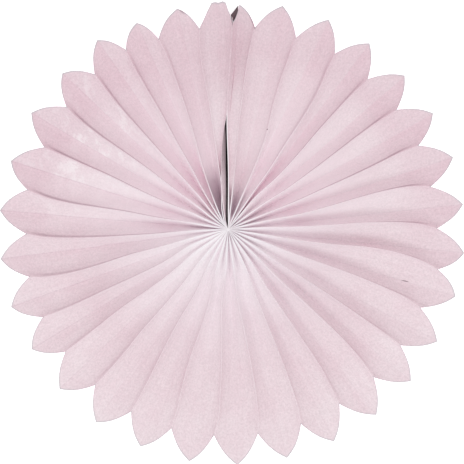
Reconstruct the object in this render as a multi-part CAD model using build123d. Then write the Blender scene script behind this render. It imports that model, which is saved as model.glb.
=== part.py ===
from build123d import *
import os
from math import cos, hypot, pi, radians, sin, sqrt

# Paper fan rosette: one strip of tissue paper, pleated, gathered at a hub and opened to a full wheel.
# The wheel lies on its back with its face up (+Z) and its seam towards +Y. Angles run clockwise from +Y.
# Long folds end in the petal tips: they are valleys and lie on the rest plane. Short folds end in the
# notches between petals: they are crests, low at the rim and high at the hub. At the seam the strip's two
# end panels stand face to face, stuck together, and near the hub they have sprung apart.
# Lengths are in millimetres and angles in degrees.

# Outline
tip_radius = 150.0
petal_depth = 16.8  # from the tip circle in to the notch circle
petal_curve = 1.35  # 1 makes a petal's sides straight, and more makes them rounder
worn_curve = 3.0  # the same for the blunt petal left of the seam
hub_x = -2.3  # the hub lies a little off the middle of the rim
hub_y = 1.9

# Pleats
regular_petals = 29
rim_relief = 8.0  # height of a crest at its notch
paper = 0.15
hub_room = 1.5  # girth of the hub over the girth of the stacked paper

# How unevenly the pleats are spread
sway = 1.0  # early pleats lag and late ones lead by this angle
crowding = 2.7  # pleats near the end of the strip lead by this angle more
crowding_power = 8.5  # a higher power keeps the crowding nearer to the end
crest_lean = 1.1  # halfway out, the crests bow counter-clockwise by this much

# Seam
seam_angle = -0.4
right_flank = 2.1  # angle from the seam to the first tip right of it
right_next = 4.7  # angle from that tip to its notch
left_flank = 2.6
left_next = 6.25

# Slit, where the seam has sprung open near the hub
slit_reach = 72.0  # from the middle of the hub to the slit's outer end
slit_width = 4.8  # at its widest
slit_power = 2.33  # a higher power keeps the widest place nearer to the hub
slit_at_hub = 0.6
push_angle = 90.0  # pleats left of the slit are pushed aside over this angle

# Facets
slit_steps = 5
slit_step_power = 1.6  # a higher power puts more facets near the hub
outer_steps = 3
edge_steps = 4

# Worked out from the sizes above
notch_radius = tip_radius - petal_depth
panels = 2 * (regular_petals + 3)
hub = Vector(hub_x, hub_y)
hub_radius = hub_room * panels * paper / (2 * pi)
first_notch = seam_angle + right_flank + right_next
last_notch = 360 + seam_angle - left_flank - left_next
panel_angle = (last_notch - first_notch) / (2 * regular_petals)
half_pitch = notch_radius * sin(radians(panel_angle))
panel_width = hypot(half_pitch, rim_relief)
slit_share = (slit_reach - hub_radius) / (notch_radius - hub_radius)
up = Vector(0, 0, 1)


def regular_angle(share):
    """Angle of the fold at this share of the way from the first notch to the last."""
    peak = crowding_power / (crowding_power + 1)
    late = share**crowding_power * (1 - share) / (peak**crowding_power * (1 - peak))
    even = first_notch + (last_notch - first_notch) * share
    return even - sway * sin(2 * pi * share) + crowding * late


# Even folds are crests and odd ones valleys. The seam has a crest on each side of its closed valley.
fold_angles = [seam_angle, seam_angle + right_flank]
fold_angles += [regular_angle(i / (2 * regular_petals)) for i in range(2 * regular_petals + 1)]
fold_angles += [360 + seam_angle - left_flank, 360 + seam_angle, 360 + seam_angle]
right_lip = 0
left_lip = panels - 2
seam_fold = panels - 1
crests = range(0, panels, 2)
valleys = range(1, panels, 2)

# Shares of the way from the hub to the notch circle, where the facets meet
stations = [slit_share * (j / slit_steps) ** slit_step_power for j in range(slit_steps)]
stations += [slit_share + (1 - slit_share) * j / outer_steps for j in range(outer_steps + 1)]


def slit_gap(q):
    """Width of the slit at a share of the way from the hub to the notch circle."""
    x = min(q / slit_share, 1)
    peak = 1 / (1 + slit_power)
    bow = x * (1 - x) ** slit_power / (peak * (1 - peak) ** slit_power)
    return slit_at_hub * (1 - x) + slit_width * bow


def crest_height(q):
    """Height that a panel of constant width reaches where the pleats are this far spread."""
    return sqrt(panel_width**2 - (half_pitch * q) ** 2)


def level_paper(q):
    """Thickness of a sloping panel, measured level."""
    return paper * panel_width / crest_height(q)


def is_crest(i):
    return i % 2 == 0


def fold_end(i):
    """Where a fold ends in plan: at a notch for a crest, at a tip for a valley."""
    if i == seam_fold:
        return hub + (fold_end(right_lip) - hub) * tip_radius / notch_radius
    radius = notch_radius if is_crest(i) else tip_radius
    angle = radians(fold_angles[i])
    return Vector(radius * sin(angle), radius * cos(angle))


def fold_ray(i):
    """Direction of a fold in plan, away from the hub."""
    return (fold_end(i) - hub).normalized()


def across(i):
    """Direction square to a fold in plan, clockwise."""
    ray = fold_ray(i)
    return Vector(ray.Y, -ray.X)


def shoulder(i):
    """Where a fold crosses the notch circle."""
    share = 1 if is_crest(i) else notch_radius / tip_radius
    return hub + (fold_end(i) - hub) * share


def aside(i, q):
    """How far a fold stands clockwise of its ray."""
    if i == right_lip:
        return level_paper(q) / 2
    if i == left_lip:
        return -level_paper(q) / 2 - slit_gap(q)
    if i == seam_fold:
        return -slit_gap(q) / 2
    push = max(1 - (fold_angles[left_lip] - fold_angles[i]) / push_angle, 0)
    bow = crest_lean * sin(pi * q) if is_crest(i) else 0
    return -slit_gap(q) * push**2 - bow


def plan(i, q):
    """Point of a fold in plan."""
    start = hub + fold_ray(i) * hub_radius
    return start + (shoulder(i) - start) * q + across(i) * aside(i, q)


def fold_section(i, q):
    """Corners of a fold where it is cut across: the outer edge's left and right end, and the inner one."""
    point = plan(i, q)
    left = (point - plan((i - 1) % panels, q)).length
    right = (point - plan((i + 1) % panels, q)).length
    height = crest_height(q)
    half = level_paper(q) / 2
    depth = 2 * half * height / (left + right)
    outer = point + up * (height if is_crest(i) else 0)
    inner = outer + across(i) * half * (right - left) / (right + left)
    inner += up * (-depth if is_crest(i) else depth)
    return {-1: outer - across(i) * half, 0: inner, 1: outer + across(i) * half}


# Rails run along each fold, from the hub to the notch circle: its left edge (-1), inner corner (0) and
# right edge (1).
sections = [[fold_section(i, q) for q in stations] for i in range(panels)]
rails = [{side: [s[side] for s in row] for side in (-1, 0, 1)} for row in sections]


def band(rail, other):
    """Triangles between two rails, without those that have no area."""
    facets = []
    for a, b, c, d in zip(rail, rail[1:], other, other[1:]):
        facets += [t for t in ([a, b, c], [b, d, c]) if t[0] != t[1] != t[2] != t[0]]
    return facets


def fan(corner, edge):
    """Triangles from one corner to each stretch of an edge."""
    return [[corner, a, b] for a, b in zip(edge, edge[1:])]


def cut_edge(i, side, crest_corner, foot_corner):
    """Edge of half a petal on one face of the paper, from the notch to the tip."""
    crest = (i + side) % panels
    curve = worn_curve if i == seam_fold - 2 else petal_curve
    root = shoulder(i)
    reach = fold_end(i) - root
    rise = plan(crest, 1) + up * crest_height(1) - root
    skin = across(i) * level_paper(1) / 2 * (side if foot_corner else -side)
    shares = [1 - j / edge_steps for j in range(1, edge_steps)]
    points = [root + rise * s + reach * (1 - s**curve) + skin for s in shares]
    foot = rails[i][foot_corner][-1]
    foot_share = foot.Z / crest_height(1)
    return [rails[crest][crest_corner][-1], *points, foot + reach * (1 - foot_share**curve)]


def petal_end(i):
    """A petal outside the notch circle, and the corners of its tip."""
    facets = []
    tip = {}
    for side in (-1, 1):
        top = cut_edge(i, side, -side, 0)
        back = cut_edge(i, side, 0, side)
        facets += fan(rails[i][0][-1], top) + fan(rails[i][side][-1], back) + band(top, back)
        tip[side] = back[-1]
    facets.append([tip[-1], tip[1], top[-1]])
    return facets, tip


def seam_end():
    """The seam's closed petal outside the notch circle, where its two halves are one sheet."""
    edges = {side: cut_edge(seam_fold, side, 0, side) for side in (-1, 1)}
    facets = band(edges[-1], edges[1])
    for side in (-1, 1):
        facets += fan(rails[seam_fold][side][-1], edges[side])
    facets.append([rails[seam_fold][0][-1], edges[-1][0], edges[1][0]])
    return facets, {side: edges[side][-1] for side in (-1, 1)}


def petal(i):
    """All facets of the petal about one valley fold."""
    facets, tip = seam_end() if i == seam_fold else petal_end(i)
    valley = rails[i]
    for side in (-1, 1):
        crest = rails[(i + side) % panels]
        facets += band(crest[-side], valley[0]) + band(crest[0], valley[side])
        facets += fan(crest[-side][0], [valley[0][0], valley[side][0], crest[0][0]])
    facets.append([*valley[-1], tip[-1], tip[1], *reversed(valley[1])])
    facets.append([valley[side][0] for side in (-1, 0, 1)])
    return facets


def crest_edge(i):
    """The narrow top of a crest, with its ends at the hub and at the notch."""
    rail = rails[i]
    ends = [[rail[side][j] for side in (-1, 0, 1)] for j in (0, -1)]
    return band(rail[-1], rail[1]) + ends


outlines = []
for i in valleys:
    outlines += petal(i)
for i in crests:
    outlines += crest_edge(i)
pleated_sheet = Solid(Shell([Face(Wire.make_polygon(outline)) for outline in outlines]))
pleated_sheet.label = "pleated_sheet"

os.makedirs("parts", exist_ok=True)
export_step(pleated_sheet, "parts/pleated_sheet.step")
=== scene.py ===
from math import pi, radians

import bpy
import numpy as np
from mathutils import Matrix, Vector


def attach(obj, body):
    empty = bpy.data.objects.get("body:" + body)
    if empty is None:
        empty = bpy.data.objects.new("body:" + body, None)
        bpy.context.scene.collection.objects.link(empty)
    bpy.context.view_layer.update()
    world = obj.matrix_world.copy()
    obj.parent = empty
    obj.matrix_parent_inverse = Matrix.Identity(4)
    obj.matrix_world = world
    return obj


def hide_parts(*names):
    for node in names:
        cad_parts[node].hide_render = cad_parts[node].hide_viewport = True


# Paper fan rosette: a pleated strip of tissue paper, opened to a wheel that lies on its back, face up, with
# its seam towards +Y. Long folds are valleys and end in tips, short folds are crests and end in notches.
# Angles are in degrees, clockwise from +Y. Lengths are in millimetres until the mesh is made.

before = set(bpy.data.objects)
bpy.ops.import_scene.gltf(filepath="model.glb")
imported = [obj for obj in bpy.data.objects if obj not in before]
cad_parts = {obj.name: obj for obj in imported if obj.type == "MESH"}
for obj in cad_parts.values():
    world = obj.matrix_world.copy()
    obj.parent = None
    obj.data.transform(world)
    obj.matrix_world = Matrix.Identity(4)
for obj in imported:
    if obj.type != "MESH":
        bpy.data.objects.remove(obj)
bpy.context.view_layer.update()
scene = bpy.context.scene
rng = np.random.default_rng(31)

# The wheel, as in the CAD part, but of thinner paper
tip_radius = 150.0
notch_radius = 133.2
hub = np.array([-2.3, 1.9])
half_pitch = 13.78
panel_width = 15.93
paper = 0.09
petals = 32  # with the one that is folded shut at the seam
folds = 2 * petals

# Where the folds end on the rim: their angle, and how far outside the tip circle or the notch circle
tips = [
    (1.9, -2.9), (12.7, -0.2), (24.5, 0.8), (36.1, 0.9), (47.8, 0.6), (59.4, 0.9), (71.3, 0.8), (83.1, 0.4),
    (95.1, 0.6), (106.0, 0.3), (118.0, 0.3), (129.7, 0.3), (141.6, 0.3), (153.9, 0.2), (166.2, -0.1),
    (178.6, 0.2), (190.5, 0.3), (203.1, 0.2), (215.5, 0.7), (227.7, 0.2), (239.7, -0.4), (251.3, 0.3),
    (263.4, 0.2), (275.4, 0.3), (287.9, -0.2), (300.8, 0.6), (313.2, -0.1), (325.0, 1.4), (335.6, -1.6),
    (346.3, -1.4), (358.1, -1.3),
]
notches = [
    (6.5, -0.8), (18.3, -1.5), (30.0, -0.6), (41.6, -1.5), (53.4, -1.1), (65.1, -0.8), (77.1, -2.0),
    (88.9, -1.2), (100.2, 1.5), (111.8, -2.5), (123.8, -2.6), (135.6, -2.7), (147.9, -2.9), (160.1, -2.1),
    (172.6, -2.6), (185.0, -2.2), (197.1, -1.3), (209.3, -1.0), (221.8, -1.4), (234.3, -1.6), (245.8, -0.1),
    (257.6, 0.1), (269.6, -1.0), (281.8, 1.1), (294.4, -0.9), (307.2, 0.1), (319.1, 1.2), (329.9, 2.4),
    (339.3, -0.2), (351.0, -0.6),
]
lip_angle, lip_offset = 0.25, 2.2  # of the two crests at the seam
closed_tip = (361.8, -3.4)  # of the petal that is folded shut between them

# How far each crest stands clockwise of a straight line, at these shares of the way from the hub to its
# notch. A row gives the places from 0.2 to 0.92, and the line starts and ends at 0.
bow_at = np.array([0, 0.035, 0.085, 0.2, 0.35, 0.5, 0.65, 0.8, 0.92, 1])
bows = [
    (-0.5, -1.2, -2.0, -2.2, -2.0, -1.2),
    (1.5, 2.7, 2.9, 0.8, -0.1, 0.0),
    (1.3, 2.8, 3.2, 4.0, 3.5, 1.2),
    (-1.3, 0.3, 0.3, -0.5, -0.7, -0.5),
    (-0.2, 0.7, 0.6, 0.0, -0.6, -0.5),
    (0.5, 1.1, 0.9, 0.8, 0.2, -0.5),
    (-0.4, -0.1, -1.1, -2.7, -3.5, -2.4),
    (-1.2, -1.5, -2.5, -3.8, -4.0, -2.6),
    (-1.1, -1.7, -3.2, -5.5, -5.6, -3.3),
    (-1.2, -1.6, -2.6, -3.4, -3.2, -2.2),
    (-0.3, -0.5, -1.1, -1.1, -0.8, -0.5),
    (-0.9, -1.1, -2.1, -2.9, -3.0, -1.7),
    (-1.2, -1.0, -1.6, -2.2, -2.5, -1.1),
    (-1.9, -1.8, -2.2, -2.7, -2.6, -1.8),
    (0.0, 0.4, -1.0, -2.0, -2.4, -1.7),
    (-0.4, 0.8, -0.6, -1.8, -2.2, -2.1),
    (0.1, -1.2, -0.7, 0.7, 0.5, -0.4),
    (0.2, -0.7, 0.3, 0.2, -0.3, -0.5),
    (0.5, -0.5, -0.6, -0.3, -0.9, -0.6),
    (1.2, -0.1, 0.0, 0.8, 0.3, 0.0),
    (1.1, -1.2, -1.7, -1.5, -1.6, -1.1),
    (0.0, -0.7, -1.3, -3.1, -3.8, -2.6),
    (-0.5, -1.8, -2.7, -3.4, -3.3, -2.3),
    (-0.6, -1.5, -1.7, -2.7, -3.5, -2.5),
    (0.2, -0.6, -0.4, 0.2, 0.0, -0.1),
    (0.0, -0.2, -0.3, -1.1, -2.0, -1.6),
    (-0.3, -0.5, -0.8, -1.3, -1.6, -0.9),
    (-1.6, -1.0, -1.1, -0.7, -1.0, -0.9),
    (-2.2, -1.5, 0.0, 1.1, 1.3, 1.2),
    (-0.4, -0.2, -0.3, -0.6, -1.7, -1.4),
]
early_bow = [0.15, 0.4]  # at the two places before 0.2, as shares of a row's first value
# At the same two places, the last six crests, which the slit pushes aside
hub_push = [(-0.1, -0.2), (-0.2, -0.4), (-0.4, -0.8), (-0.8, -1.3), (-1.2, -1.8), (-1.5, -2.1)]

# The slit, where the seam has sprung open near the hub: shares of the way from the hub to the notch circle,
# how wide it is there, and how wide its deep part is, beside the right lip
gap_at = np.array([0, 0.03, 0.05, 0.08, 0.115, 0.2, 0.31, 0.405, 0.5, 0.54, 0.58, 0.62, 1])
gap_width = np.array([0.9, 1.4, 1.8, 2.5, 3.1, 4.2, 4.2, 3.2, 1.3, 0.3, 0, 0, 0])
deep_width = np.array([0.8, 1.2, 1.3, 1.3, 1.3, 1.3, 1.4, 0.9, 0.5, 0.2, 0, 0, 0])
lip_gap = 0.36  # between the middles of the two crests where the seam is shut
slit_foot = 0.08  # the closed fold lies this share of the slit's width from its right side
# How far the seam sways clockwise of a straight line
sway_at = np.array([0, 0.1, 0.19, 0.31, 0.43, 0.54, 0.67, 0.85, 1])
sway_by = np.array([-0.1, -0.15, -0.4, -0.9, -1.8, -2.4, -1.9, -0.7, 0])

# Crests
crest_start, valley_start = 0.1, 1.0  # how far from the middle of the hub the folds start
crest_half = 0.12  # half the width of a crest's narrow top
lip_half = 0.28  # the same for the right lip
hub_half = 0.15  # this much more close to the hub
crest_spread = 0.035  # but not more than this share of the distance from the hub
crest_lean = 1.0  # crests lean over towards +Y, by up to about half of this
sag, middle_sag = 0.06, 0.08  # shares of its height that a crest is lower, and lower still halfway out
lip_drop = 1.2  # outside the slit the right lip is lower by this

# Panels
flank = [(0.5, 1), (0.15, 3), (0.35, 12)]  # shares and powers of a panel's rise from valley to crest
soft_fold = 0.03  # how softly the valleys are folded near the hub
# Further out, some valleys are folded more softly than others, and the dark line painted on their crease,
# partly crease mark and partly painted shade, is weaker: by angle
soft_at = [0, 10, 45, 65, 80, 100, 112, 130, 200, 225, 245, 290, 300, 312, 340, 355, 360]
soft_out = [0.1, 0.2, 0.2, 0.1, 0.06, 0.06, 0.1, 0.2, 0.2, 0.15, 0.03, 0.03, 0.16, 0.18, 0.15, 0.1, 0.1]
drawn_out = [0.2, 0.15, 0.1, 0.4, 0.5, 0.5, 0.5, 0.3, 0.15, 0.4, 0.8, 0.8, 0.5, 0.3, 0.4, 0.3, 0.2]
# Near the hub the grooves are shut below a depth: their pitch times this, below and above the hub
groove_below, groove_above = 1.1, 2.0
flat_groove = 0.72  # the two petals beside the seam lose this share of their depth

# Petals
petal_curve = 3  # power of the rounder half of a petal's edge
blunt_side = 0.48  # share of the blunt petal's left half over which its edge falls off to the notch
seam_curve_left, seam_curve_right = 1.3, 0.7  # power of the whole edge, left and right of the seam
closed_cut = 0.74  # share of its length that the closed petal loses from its tip to its crests
closed_lean = 1.4  # how far the closed petal leans to the left outside the notch circle
ragged = 0.4  # how uneven the edge of the blunt petal is
edge_slant = 0.7  # distance to a petal's slanting edge over the distance along its fold

# The paper isn't quite flat: it swells, and is crinkled, most on the worn upper left.
swell, swell_length, swell_waves = 0.12, 26, 40
crinkle, worn_crinkle, crinkle_length, crinkle_waves = 0.015, 0.05, 7.5, 60
worn_x, worn_y, worn_reach = -85, 60, 45

# Mesh: columns across half a petal, from 0 on the valley to 1 on the crest, and stations out from the hub
shares = [0.0, 0.04, 0.11, 0.22, 0.36, 0.51, 0.67, 0.82, 0.92, 0.97, 1.0]
foot_share, knee_share = shares[4], shares[5]  # where the slit's left wall is still low, and steep no more
shadow_line_share = shares[8]  # where the painted shadow line below a crest runs
inner_stations, station_power, rim_stations = 66, 1.2, [0.9885, 0.994, 1.0]
sharp_angle = 28


def step(x, start, end):
    """0 up to start and 1 from end on, with a smooth change between them. Start may be the higher one."""
    t = np.clip((x - start) / (end - start), 0, 1)
    return t * t * (3 - 2 * t)


def bell(x, middle, width):
    return np.exp(-(((x - middle) / width) ** 2))


def through(q, places, values):
    """Smooth line through the values that are given at these places."""
    slopes = np.gradient(values, places)
    k = np.clip(np.searchsorted(places, q, side="right") - 1, 0, len(places) - 2)
    span = places[k + 1] - places[k]
    t = np.clip((q - places[k]) / span, 0, 1)
    line = values[k] * (1 + 2 * t) * (1 - t) ** 2 + values[k + 1] * t * t * (3 - 2 * t)
    return line + span * (slopes[k] * t * (1 - t) ** 2 - slopes[k + 1] * t * t * (1 - t))


# Folds in order round the wheel: crest, valley, crest and so on. The last valley is the seam's closed one.
right_lip, right_tip, left_tip, left_lip, seam_fold = 0, 1, folds - 3, folds - 2, folds - 1
plain_crests = slice(right_tip + 1, left_tip, 2)
pushed_crests = slice(left_tip + 1 - 2 * len(hub_push), left_tip, 2)
is_crest = np.arange(folds) % 2 == 0

rim_table = np.empty((folds, 2))
rim_table[right_tip:left_lip:2] = tips
rim_table[plain_crests] = notches
rim_table[right_lip] = lip_angle, lip_offset
rim_table[left_lip] = 360 + lip_angle, lip_offset
rim_table[seam_fold] = closed_tip
fold_angles, rim_offset = rim_table.T

# Grooves differ in depth, and are shallower on the lower left
fold_depth = rng.uniform(0.75, 1.25, folds) * (1 - 0.45 * bell(fold_angles, 228, 28))
fold_bow = np.zeros((folds, len(bow_at)))
fold_bow[plain_crests, 3:-1] = bows
fold_bow[plain_crests, 1:3] = fold_bow[plain_crests, 3:4] * early_bow
fold_bow[pushed_crests, 1:3] = hub_push
valley_soft = np.interp(fold_angles, soft_at, soft_out)
valley_soft[seam_fold] = soft_fold
valley_drawn = np.interp(fold_angles, soft_at, drawn_out)

# Each fold in plan: where it ends, its direction, where it crosses the notch circle and where it starts
angles = np.radians(fold_angles)
end_radius = np.where(is_crest, notch_radius, tip_radius) + rim_offset
ends = end_radius[:, None] * np.stack([np.sin(angles), np.cos(angles)], 1)
rays = (ends - hub) / np.linalg.norm(ends - hub, axis=1)[:, None]
across = np.stack([rays[:, 1], -rays[:, 0]], 1)
shoulders = hub + (ends - hub) * np.where(is_crest, 1, notch_radius / tip_radius)[:, None]
starts = hub + rays * np.where(is_crest, crest_start, valley_start)[:, None]
runs = np.linalg.norm(shoulders - starts, axis=1)
reaches = np.linalg.norm(ends - shoulders, axis=1)


def slit_gap(q):
    return np.maximum(through(q, gap_at, gap_width), 0)


def crest_height(q):
    """Height that a panel of constant width reaches where the pleats are this far spread."""
    return np.sqrt(panel_width**2 - (half_pitch * np.minimum(q, 1)) ** 2)


def aside(i, q):
    """How far fold i stands clockwise of its ray at a share q of the way from the hub to the notch circle."""
    sway = through(q, sway_at, sway_by)
    if i == right_lip:
        return sway + lip_gap / 2
    if i == right_tip:
        return sway
    if i == left_lip:
        return sway - lip_gap / 2 - slit_gap(q)
    if i == seam_fold:
        upright = np.sum((ends[right_lip] - ends[seam_fold]) * across[seam_fold]) * q
        return sway - slit_gap(q) * slit_foot + upright * step(q, 1.05, 0.75)
    return through(q, bow_at, fold_bow[i])


def fold_line(i, q):
    """Fold i in plan. Past the notch circle it goes straight on."""
    line = starts[i] + rays[i] * (q * runs[i])[:, None] + across[i] * aside(i, np.minimum(q, 1))[:, None]
    if i == left_tip:
        # Beside the slit this pleat is squeezed between its two crests
        between = (fold_line(left_tip - 1, q) + fold_line(left_lip, q)) / 2
        line = line + (between - line) * step(q, 0.6, 0.3)[:, None]
    return line


def edge_share(valley, crest, s):
    """Share of a petal's length that is left at its edge, from 1 at the tip to 0 at the notch."""
    if valley == seam_fold:
        return 1 - closed_cut * s
    if (valley, crest) == (left_tip, left_tip - 1):
        return min((1 - s) / blunt_side, 1)
    if (valley, crest) == (left_tip, left_lip):
        return 1 - s**seam_curve_left
    if (valley, crest) == (right_tip, right_lip):
        return 1 - s**seam_curve_right
    return 1 - 0.5 * s - 0.5 * s**petal_curve


def panel_rise(valley, s, q):
    """How far up a panel is at share s of the way from its valley to its crest. Its flank is hollow."""
    soft = soft_fold + (valley_soft[valley] - soft_fold) * step(q, 0.25, 0.65)
    rise = (np.sqrt(s * s + soft**2) - soft) / (np.sqrt(1 + soft**2) - soft)
    return sum(share * rise**power for share, power in flank)


def slit_wall(s, q, level, rise):
    """The slit's left panel where the slit is open: it has a deep part, then slopes up to the left lip."""
    gap = slit_gap(q)
    knee = np.clip(np.interp(q, gap_at, deep_width) / np.maximum(gap, 0.1), 0.2, 0.9)
    if s < knee_share:
        wall = knee * (s / knee_share) ** 3
    else:
        wall = knee + (1 - knee) * (s - knee_share) / (1 - knee_share)
    wall_rise = np.interp(s, [0, foot_share, knee_share, 1], [0, 0.35, 0.8, 1])
    open_share = np.clip(gap / 2, 0, 1)
    return level + open_share * (wall - level), rise + open_share * (wall_rise - rise)


def groove_depth(valley, foot, from_hub):
    """Depth to which the groove of a valley is open."""
    above = step(foot[:, 1] - hub[1], -8, 8)
    pitch = 2 * pi / petals * from_hub
    return (groove_below + (groove_above - groove_below) * above) * pitch * fold_depth[valley]


def column_points(valley, crest, s, q):
    """One column of the sheet, without the paper's thickness: x, y and the heights of its face and back."""
    past = np.maximum(q - 1, 0) * runs[valley]
    foot = fold_line(valley, q)
    top = fold_line(crest, np.minimum(q, 1)) + rays[valley] * past[:, None]
    from_hub = np.linalg.norm(top - hub, axis=1)
    side = 1 if (crest - valley) % folds == 1 else -1
    half = lip_half if crest == right_lip else crest_half
    room = np.minimum(half + hub_half * step(from_hub, 35, 10), crest_spread * from_hub)
    top = top - across[crest] * (side * room)[:, None]

    height = crest_height(q) * (1 - sag * step(q, 0, 0.5) - middle_sag * np.sin(pi * np.minimum(q, 1)))
    if crest == right_lip:
        height = height - lip_drop * step(q, 0.56, 0.64) * step(q, 1.0, 0.9)
    depth = height
    level = np.full_like(q, s)
    rise = panel_rise(valley, s, q)
    if valley == seam_fold:
        if crest == left_lip:
            level, rise = slit_wall(s, q, level, rise)
        shift = -across[seam_fold] * (closed_lean * s * np.minimum(past / 4, 1))[:, None]
    else:
        depth = np.minimum(height, groove_depth(valley, foot, from_hub))
        if valley in (right_tip, left_tip):
            depth = depth * (1 - flat_groove * step(q, 0.12, 0.24) * step(q, 0.95, 0.6))
        lean = crest_lean * step(from_hub, 0, 60) * step(q, 1.0, 0.75) * (s**10 - s)
        shift = across[crest] * (across[crest][1] * lean)[:, None]
    plan = foot + (top - foot) * level[:, None] + shift
    return np.column_stack([plan, height - depth + depth * rise, depth * rise])


def waves(points, length, count):
    """Smooth random field on the plane, with waves of about this length."""
    field = np.zeros(points.shape[:-1])
    for turn, phase, size in rng.random((count, 3)):
        wave = 2 * pi / (length * (0.6 + 0.9 * size))
        heading = np.array([np.cos(2 * pi * turn), np.sin(2 * pi * turn)])
        field += np.cos(points[..., :2] @ heading * wave + 2 * pi * phase)
    return field / np.sqrt(count / 2)


# Columns run out from the hub, side by side round the wheel: valley, crest, share of the way between them,
# and panel. A crest has two, on either side of its narrow top.
columns = []
for valley in range(1, folds, 2):
    columns += [(valley, valley - 1, s, valley - 1) for s in reversed(shares)]
    columns += [(valley, (valley + 1) % folds, s, valley) for s in shares[1:]]
stations = np.concatenate([np.linspace(0, 1, inner_stations + 1)[:-1] ** station_power, rim_stations])

sheet, edge_gap = [], []
for valley, crest, s, _ in columns:
    past = reaches[valley] / runs[valley] * edge_share(valley, crest, s)
    if valley == left_tip and 0 < s < 0.6:
        past += rng.normal(0, ragged) / runs[valley]
    q = stations * (1 + past)
    sheet.append(column_points(valley, crest, s, q))
    edge_gap.append((1 + past - q) * runs[valley] * edge_slant)
sheet, edge_gap = np.array(sheet), np.array(edge_gap)
face, back = sheet[..., :3], sheet[..., [0, 1, 3]]

radius = np.linalg.norm(face[..., :2] - hub, axis=-1)
worn = bell(face[..., 0], worn_x, worn_reach) * bell(face[..., 1], worn_y, worn_reach)
lift = swell * waves(face, swell_length, swell_waves)
lift = lift + (crinkle + worn_crinkle * worn) * waves(face, crinkle_length, crinkle_waves)
lift = lift * step(radius, 25, 95)
for surface in (face, back):
    surface[..., 2] = np.maximum(surface[..., 2] + lift, 0)


def normals(surface):
    round_step = np.roll(surface, -1, 0) - np.roll(surface, 1, 0)
    normal = np.cross(round_step, np.gradient(surface, axis=1))
    return normal / np.linalg.norm(normal, axis=-1)[..., None]


# Two faces, a paper's thickness apart. Where the grooves are shut they are further apart.
upper_side = face + normals(face) * paper / 2
under_side = back - normals(back) * paper / 2
points = np.concatenate([upper_side.reshape(-1, 3), under_side.reshape(-1, 3)])
points[:, 2] = np.maximum(points[:, 2], 0)

count, length = radius.shape
under = count * length
index = np.arange(under).reshape(count, length)
following = np.roll(index, -1, 0)
a, b, c, d = index[:, :-1], index[:, 1:], following[:, 1:], following[:, :-1]
rim, next_rim = index[:, -1], following[:, -1]
eye, next_eye = index[:, 0], following[:, 0]
top_faces = np.stack([d, c, b, a], -1).reshape(-1, 4)
back_faces = np.stack([a, b, c, d], -1).reshape(-1, 4) + under
rim_faces = np.stack([next_rim, next_rim + under, rim + under, rim], -1)
eye_faces = np.stack([eye, eye + under, next_eye + under, next_eye], -1)
faces = np.concatenate([top_faces, back_faces, rim_faces, eye_faces])

mesh = bpy.data.meshes.new("tissue_wheel")
mesh.from_pydata((points / 1000).tolist(), [], faces.tolist())
mesh.update()
mesh.shade_smooth()
mesh.set_sharp_from_angle(angle=radians(sharp_angle))

# The columns' values, for each point of a column
valley_of, crest_of, share_of, panel_of = (np.array(part)[:, None] for part in zip(*columns))

# Map of the flattened strip: each panel has a cell of its own, in two rows for the face and two for the
# back.
cells_in_row, cell_rows = folds // 2, 4
cell_left, cell_wide, crest_wide = 0.04, 0.9, 0.03
cell_low, cell_tall = 0.03, 0.94
panel = panel_of[:, 0]
from_left = np.where(panel_of == valley_of, share_of, 1 - share_of)[:, 0]
u_here = (panel % cells_in_row + cell_left + cell_wide * from_left) / cells_in_row
same_panel = np.roll(panel, -1) == panel
u_next = np.where(same_panel, np.roll(u_here, -1), u_here + crest_wide / cells_in_row)
v_here = cell_low + cell_tall * stations
uv = np.empty((2, count, length - 1, 4, 2))
for side in (0, 1):
    row = (panel // cells_in_row + 2 * side)[:, None]
    low, high = (row + v_here[:-1]) / cell_rows, (row + v_here[1:]) / cell_rows
    left, right = (np.broadcast_to(u[:, None], low.shape) for u in (u_here, u_next))
    corners = [(left, low), (left, high), (right, high), (right, low)]
    for k, (u, v) in enumerate(corners if side else corners[::-1]):
        uv[side, :, :, k, 0] = u
        uv[side, :, :, k, 1] = v
rim_uv = np.stack([uv[0, :, -1, 1], uv[1, :, -1, 2], uv[1, :, -1, 1], uv[0, :, -1, 2]], 1)
eye_uv = np.stack([uv[0, :, 0, 3], uv[1, :, 0, 0], uv[1, :, 0, 3], uv[0, :, 0, 0]], 1)
all_uv = np.concatenate([part.reshape(-1, 2) for part in (uv, rim_uv, eye_uv)])
mesh.uv_layers.new(name="OFBake").uv.foreach_set("vector", all_uv.astype(np.float32).ravel())


def paint(name, values, on_back=1):
    """A number for each point of the face, for the material, and that number times on_back on the back."""
    attribute = mesh.attributes.new(name, "FLOAT", "POINT")
    attribute.data.foreach_set("value", np.concatenate([values, values * on_back]).ravel().astype(np.float32))


# What the paints go by
x, y = face[..., 0], face[..., 1]
turn = np.degrees(np.arctan2(x, y))
below = step(y - hub[1], 16, -10)  # 1 below the hub, 0 above it
near = step(radius, 40, 12)  # 1 close to the hub
in_seam = valley_of == seam_fold
on_wall = in_seam & (crest_of == left_lip) & (share_of > 0.5)
facing = np.where((crest_of - valley_of) % folds == 1, -1, 1) * across[crest_of, 1]
lee = step(facing, 0, 0.7) * step(radius, 15, 45) * (0.35 + 0.65 * step(y, -60, 60))

# A grey line along the cut edges, partly the paper's edge and partly painted shade, painted shadow under the
# edges at two notches, and a flush of pink on the upper petals and towards the rim
paint("cut_edge", edge_gap)
edge_shadow = bell(turn, 5.6, 0.9) + bell(turn, -12.7, 0.5)
paint("edge_shadow", edge_shadow * step(edge_gap, 1.6, 0), on_back=0)
top_flush = 0.95 * bell(turn, -14, 46) * step(radius, 50, 120)
rim_flush = 0.85 * step(radius, 108, 128) * step(y, -96, 64)
paint("flush", np.clip(top_flush + rim_flush, 0, 1))
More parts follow.
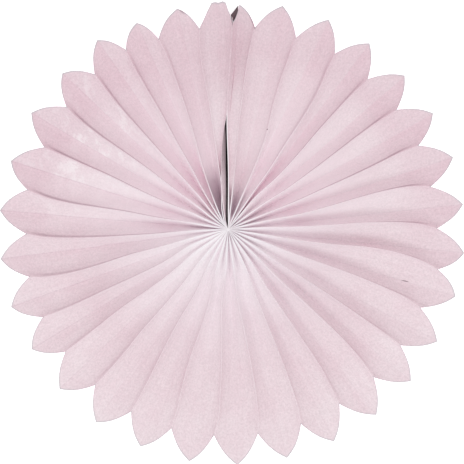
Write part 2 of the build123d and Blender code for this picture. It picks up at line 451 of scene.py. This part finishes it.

# Painted shade: sides that face away from the light are pinker, with a painted shadow line below their
# crests; and whitish worn patches
paint("lee", np.where(on_wall, 1, lee))
sideways = 0.25 + 0.75 * np.sin(np.radians(turn)) ** 2
paint("fold_shade", (share_of == shadow_line_share) * lee * sideways * step(radius, 132, 118), on_back=0)
paint("worn", worn * (1 - 0.75 * lee))

# Painted shade inside the slit and on the closed petal at the rim
in_slit = in_seam & ~on_wall & (share_of < 1) & (radius < 80)
at_rim = in_seam & (radius > 132)
wall_shade = on_wall * (0.04 + 0.36 * step(radius, 24, 49)) * step(radius, 74, 66)
paint("painted_slit_shade", np.where(in_slit, 1.0, np.where(at_rim, 0.85, wall_shade)), on_back=0)

# Shade in the pleats beside the slit
shaded = np.zeros(folds)
shaded[[left_tip - 4, left_tip - 2, right_tip, right_tip + 2, right_tip + 4]] = 0.1, 0.9, 0.3, 0.9, 0.2
shade_reach = np.where(x < hub[0], step(radius, 46, 18), step(radius, 34, 12))
paint("shade", shaded[valley_of] * (share_of < 0.95) * step(radius, 6, 11) * shade_reach, on_back=0)

# Valley creases, partly the paper's crease marks and partly painted shade, and painted shade in the grooves
# near the hub, stronger in some sectors
fold_shade = near + (1 - near) * valley_drawn[valley_of]
paint("valley", np.where(share_of == 0, fold_shade, np.where(share_of < 0.3, 0.5 * near, 0)))
sectors = [0, 30, 60, 90, 120, 150, 180, 210, 240, 270, 300, 330, 360]
line_by = np.interp(fold_angles, sectors, [0.3, 0.6, 0.9, 0.9, 0.7, 0.6, 0.8, 0.2, 0, 1.2, 1.3, 0.4, 0.3])
line_by = line_by * rng.uniform(0.1, 1.2, folds)
sunk_by = np.interp(fold_angles, sectors, [0.5, 1, 0.5, 0.4, 0.3, 0.5, 0.6, 0.2, 0.2, 1, 0.8, 1, 0.5])
sunk_by = np.where(rng.random(folds) < 0.5, sunk_by, 0)
line = 0.6 * line_by[valley_of] * (share_of < 0.4) * step(radius, 0.8, 3.8) * step(radius, 32, 6)
sunk = sunk_by[valley_of] * (share_of < 0.85) * step(radius, 11, 4)
paint("line", np.clip(np.maximum(line, sunk), 0, 1), on_back=0)

# Painted light that the paper lets through near the hub, rosy above it, with painted highlights on the crests
# and along the right lip
outer = step(radius, 8, 38)
pale = (0.35 + 0.5 * outer) * (1 - below) + (0.45 + 0.05 * outer) * below
pale = pale * (1 - 0.8 * bell(turn, 0, 16)) * step(radius, 110 + 35 * (1 - below), 25)
pale = pale + 0.2 * step(radius, 19, 3)
pale = np.where(share_of == 1, 0.6 * pale, pale)
pale = np.where(share_of > 0.8, pale + 0.8 * near * (1 - pale), pale)
on_lip = (crest_of == right_lip) & (share_of > 0.95) & (radius < 74)
paint("inner", np.clip(np.where(on_lip, 0.7, np.where(in_seam, 0, pale)), 0, 1))
paint("rosy", (1 - below) * step(radius, 4, 20))

wheel = bpy.data.objects.new("tissue_wheel", mesh)
scene.collection.objects.link(wheel)
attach(wheel, "root")
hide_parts("pleated_sheet")


# Tissue paper
def new_material(name):
    made = bpy.data.materials.new(name)
    made.use_nodes = True
    principled = next(n for n in made.node_tree.nodes if n.type == "BSDF_PRINCIPLED")
    return made, made.node_tree, principled


tissue, tree, shader = new_material("tissue_paper")
mesh.materials.append(tissue)
link = tree.links.new


def node(kind, **settings):
    made = tree.nodes.new(kind)
    for name, value in settings.items():
        setattr(made, name, value)
    return made


def noise(vector, scale, detail, roughness, stretch=(1, 1, 1)):
    mapping = node("ShaderNodeMapping")
    mapping.inputs["Scale"].default_value = stretch
    link(vector, mapping.inputs["Vector"])
    made = node("ShaderNodeTexNoise")
    made.inputs["Scale"].default_value = scale
    made.inputs["Detail"].default_value = detail
    made.inputs["Roughness"].default_value = roughness
    link(mapping.outputs["Vector"], made.inputs["Vector"])
    return made.outputs["Fac"]


def ramp(value, *stops):
    """Colour that goes from one stop to the other as the value does."""
    made = node("ShaderNodeValToRGB")
    for element, (stop, tint) in zip(made.color_ramp.elements, stops):
        element.position = stop
        element.color = (*tint, 1)
    link(value, made.inputs["Fac"])
    return made.outputs["Color"]


def blend(kind, share, first, second):
    made = node("ShaderNodeMix", data_type="RGBA", blend_type=kind)
    if isinstance(share, float):
        made.inputs[0].default_value = share
    else:
        link(share, made.inputs[0])
    link(first, made.inputs[6])
    if isinstance(second, tuple):
        made.inputs[7].default_value = (*second, 1)
    else:
        link(second, made.inputs[7])
    return made.outputs[2]


def spread(value, low, high, to_low, to_high):
    made = node("ShaderNodeMapRange")
    for name, number in (("From Min", low), ("From Max", high), ("To Min", to_low), ("To Max", to_high)):
        made.inputs[name].default_value = number
    link(value, made.inputs["Value"])
    return made.outputs["Result"]


def combine(operation, first, second):
    made = node("ShaderNodeMath", operation=operation)
    link(first, made.inputs[0])
    link(second, made.inputs[1])
    return made.outputs[0]


def mark(centre, slope, half_size):
    """1 in the middle of a small mark on the paper, 0 outside it: metres, and degrees counter-clockwise."""
    mapping = node("ShaderNodeMapping", vector_type="TEXTURE")
    mapping.inputs["Location"].default_value = (*centre, 0)
    mapping.inputs["Rotation"].default_value = (0, 0, radians(slope))
    mapping.inputs["Scale"].default_value = (*half_size, 1)
    link(position, mapping.inputs["Vector"])
    distance = node("ShaderNodeVectorMath", operation="LENGTH")
    link(mapping.outputs["Vector"], distance.inputs[0])
    return spread(distance.outputs["Value"], 0.6, 1.2, 1.0, 0.0)


def painted(name):
    return node("ShaderNodeAttribute", attribute_name=name).outputs["Fac"]


coords = node("ShaderNodeTexCoord")
position, strip = coords.outputs["Object"], coords.outputs["UV"]
cloud = noise(position, 55, 3, 0.55)
mottle = noise(position, 420, 3, 0.6)
grain = noise(position, 800, 2, 0.7)
patches = noise(position, 95, 4, 0.65, (1.3, 0.8, 1))
fibre = noise(strip, 260, 4, 0.65, (3.2, 0.7, 1))
streak = noise(strip, 60, 2, 0.5, (4, 0.35, 1))
cross_fibre = noise(strip, 330, 3, 0.6, (0.5, 3.0, 1))

white = (1, 1, 1)
textures = (
    (mottle, 0.3, 0.7, (0.97, 0.955, 0.96)),
    (streak, 0.35, 0.65, (0.975, 0.96, 0.965)),
    (fibre, 0.3, 0.7, (0.965, 0.95, 0.955)),
    (grain, 0.3, 0.7, (0.86, 0.86, 0.86)),
)
# Tints multiplied in: a pink flush; painted shade on the sides away from the light, in a shadow line below
# the crests, in the pleats beside the slit and in the grooves near the hub; and along the valleys, crease
# marks that are partly painted shade
tints = {
    "flush": (0.95, 0.90, 0.92),
    "lee": (1.0, 0.953, 0.97),
    "fold_shade": (0.52, 0.42, 0.47),
    "shade": (0.62, 0.52, 0.58),
    "line": (0.36, 0.22, 0.30),
    "valley": (0.88, 0.85, 0.87),
}
worn_white = (0.985, 0.94, 0.955)
edge_grey = (0.55, 0.54, 0.57)
# Painted shadow under the paper's edge at two notches
edge_shadow_colour = (0.30, 0.18, 0.22)
mark_grey = (0.33, 0.24, 0.27)
# Painted shade inside the slit and on the closed petal at the rim
slit_shade_colour = (0.035, 0.003, 0.010)
nick = ((0.1118, -0.0314), -12.5, (0.0026, 0.00035))
speck = ((0.0228, 0.0660), 0, (0.0004, 0.0005))

colour = ramp(cloud, (0.3, (0.95, 0.803, 0.85)), (0.7, (0.965, 0.848, 0.885)))
for texture, low, high, tint in textures:
    colour = blend("MULTIPLY", 1.0, colour, ramp(texture, (low, tint), (high, white)))
# Painted light let through near the hub, and painted highlights on the crests
through_light = ramp(painted("rosy"), (0.0, (0.98, 0.958, 0.985)), (1.0, (0.99, 0.935, 0.962)))
colour = blend("MIX", painted("inner"), colour, through_light)
patch = combine("MULTIPLY", painted("worn"), spread(patches, 0.5, 0.62, 0.0, 0.8))
colour = blend("MIX", patch, colour, worn_white)
for name, tint in tints.items():
    colour = blend("MULTIPLY", painted(name), colour, tint)
# A grey line along the cut edges, partly the paper's edge and partly painted shade, and painted shadow under
# the edges at two notches
colour = blend("MIX", spread(painted("cut_edge"), 0.0, 1.0, 0.95, 0.0), colour, edge_grey)
colour = blend("MIX", painted("edge_shadow"), colour, edge_shadow_colour)
for spot in (nick, speck):
    colour = blend("MIX", mark(*spot), colour, mark_grey)
# Painted shade inside the slit and on the closed petal at the rim
colour = blend("MIX", painted("painted_slit_shade"), colour, slit_shade_colour)
link(colour, shader.inputs["Base Color"])
link(spread(mottle, 0.3, 0.7, 0.82, 0.95), shader.inputs["Roughness"])
shader.inputs["Specular IOR Level"].default_value = 0.1
shader.inputs["Sheen Weight"].default_value = 0.05
shader.inputs["Sheen Roughness"].default_value = 0.6

bump = node("ShaderNodeBump")
bump.inputs["Strength"].default_value = 0.35
bump.inputs["Distance"].default_value = 0.0004
relief = combine("ADD", combine("ADD", fibre, grain), combine("ADD", cross_fibre, mottle))
link(relief, bump.inputs["Height"])
link(bump.outputs["Normal"], shader.inputs["Normal"])

# Floor, just below the wheel
floor_half, floor_drop = 3.0, 0.0006
floor_corners = [(i * floor_half, j * floor_half, 0) for i, j in ((-1, -1), (1, -1), (1, 1), (-1, 1))]
floor_mesh = bpy.data.meshes.new("floor")
floor_mesh.from_pydata(floor_corners, [], [(0, 1, 2, 3)])
floor = bpy.data.objects.new("floor", floor_mesh)
floor.location.z = -floor_drop
scene.collection.objects.link(floor)
floor_material, _, floor_shader = new_material("pale_floor")
floor_shader.inputs["Base Color"].default_value = (0.93, 0.93, 0.93, 1)
floor_shader.inputs["Roughness"].default_value = 0.95
floor_shader.inputs["Emission Color"].default_value = (1, 1, 1, 1)
floor_shader.inputs["Emission Strength"].default_value = 0.5
floor_mesh.materials.append(floor_material)

# Soft light from all round, with a large soft box in front of the wheel's lower edge
world = bpy.data.worlds.new("studio")
world.use_nodes = True
sky = world.node_tree.nodes["Background"]
sky.inputs["Color"].default_value = (1, 0.98, 0.985, 1)
sky.inputs["Strength"].default_value = 0.86
scene.world = world

key_light = bpy.data.lights.new("key", "AREA")
key_light.shape = "DISK"
key_light.size = 1.7
key_light.energy = 26
key_light.color = (0.85, 1.0, 0.96)
key = bpy.data.objects.new("key", key_light)
key.location = (-0.12, -2.27, 2.9)
key.rotation_mode = "QUATERNION"
key.rotation_quaternion = (-Vector(key.location)).to_track_quat("-Z", "Y")
scene.collection.objects.link(key)

# Camera straight above, a long way off, framed as the photograph is
lens, sensor = 200.0, 36
view_width, view_middle = 0.2993, 0.0002
camera_data = bpy.data.cameras.new("camera")
camera_data.lens = lens
camera_data.sensor_width = sensor
camera_data.clip_start = 0.01
camera_data.clip_end = 50
camera = bpy.data.objects.new("camera", camera_data)
camera.location = (view_middle, view_middle, view_width * lens / sensor)
scene.collection.objects.link(camera)
scene.camera = camera

scene.view_settings.view_transform = "Standard"
scene.view_settings.look = "None"
scene.cycles.diffuse_bounces = 32
scene.cycles.max_bounces = 40
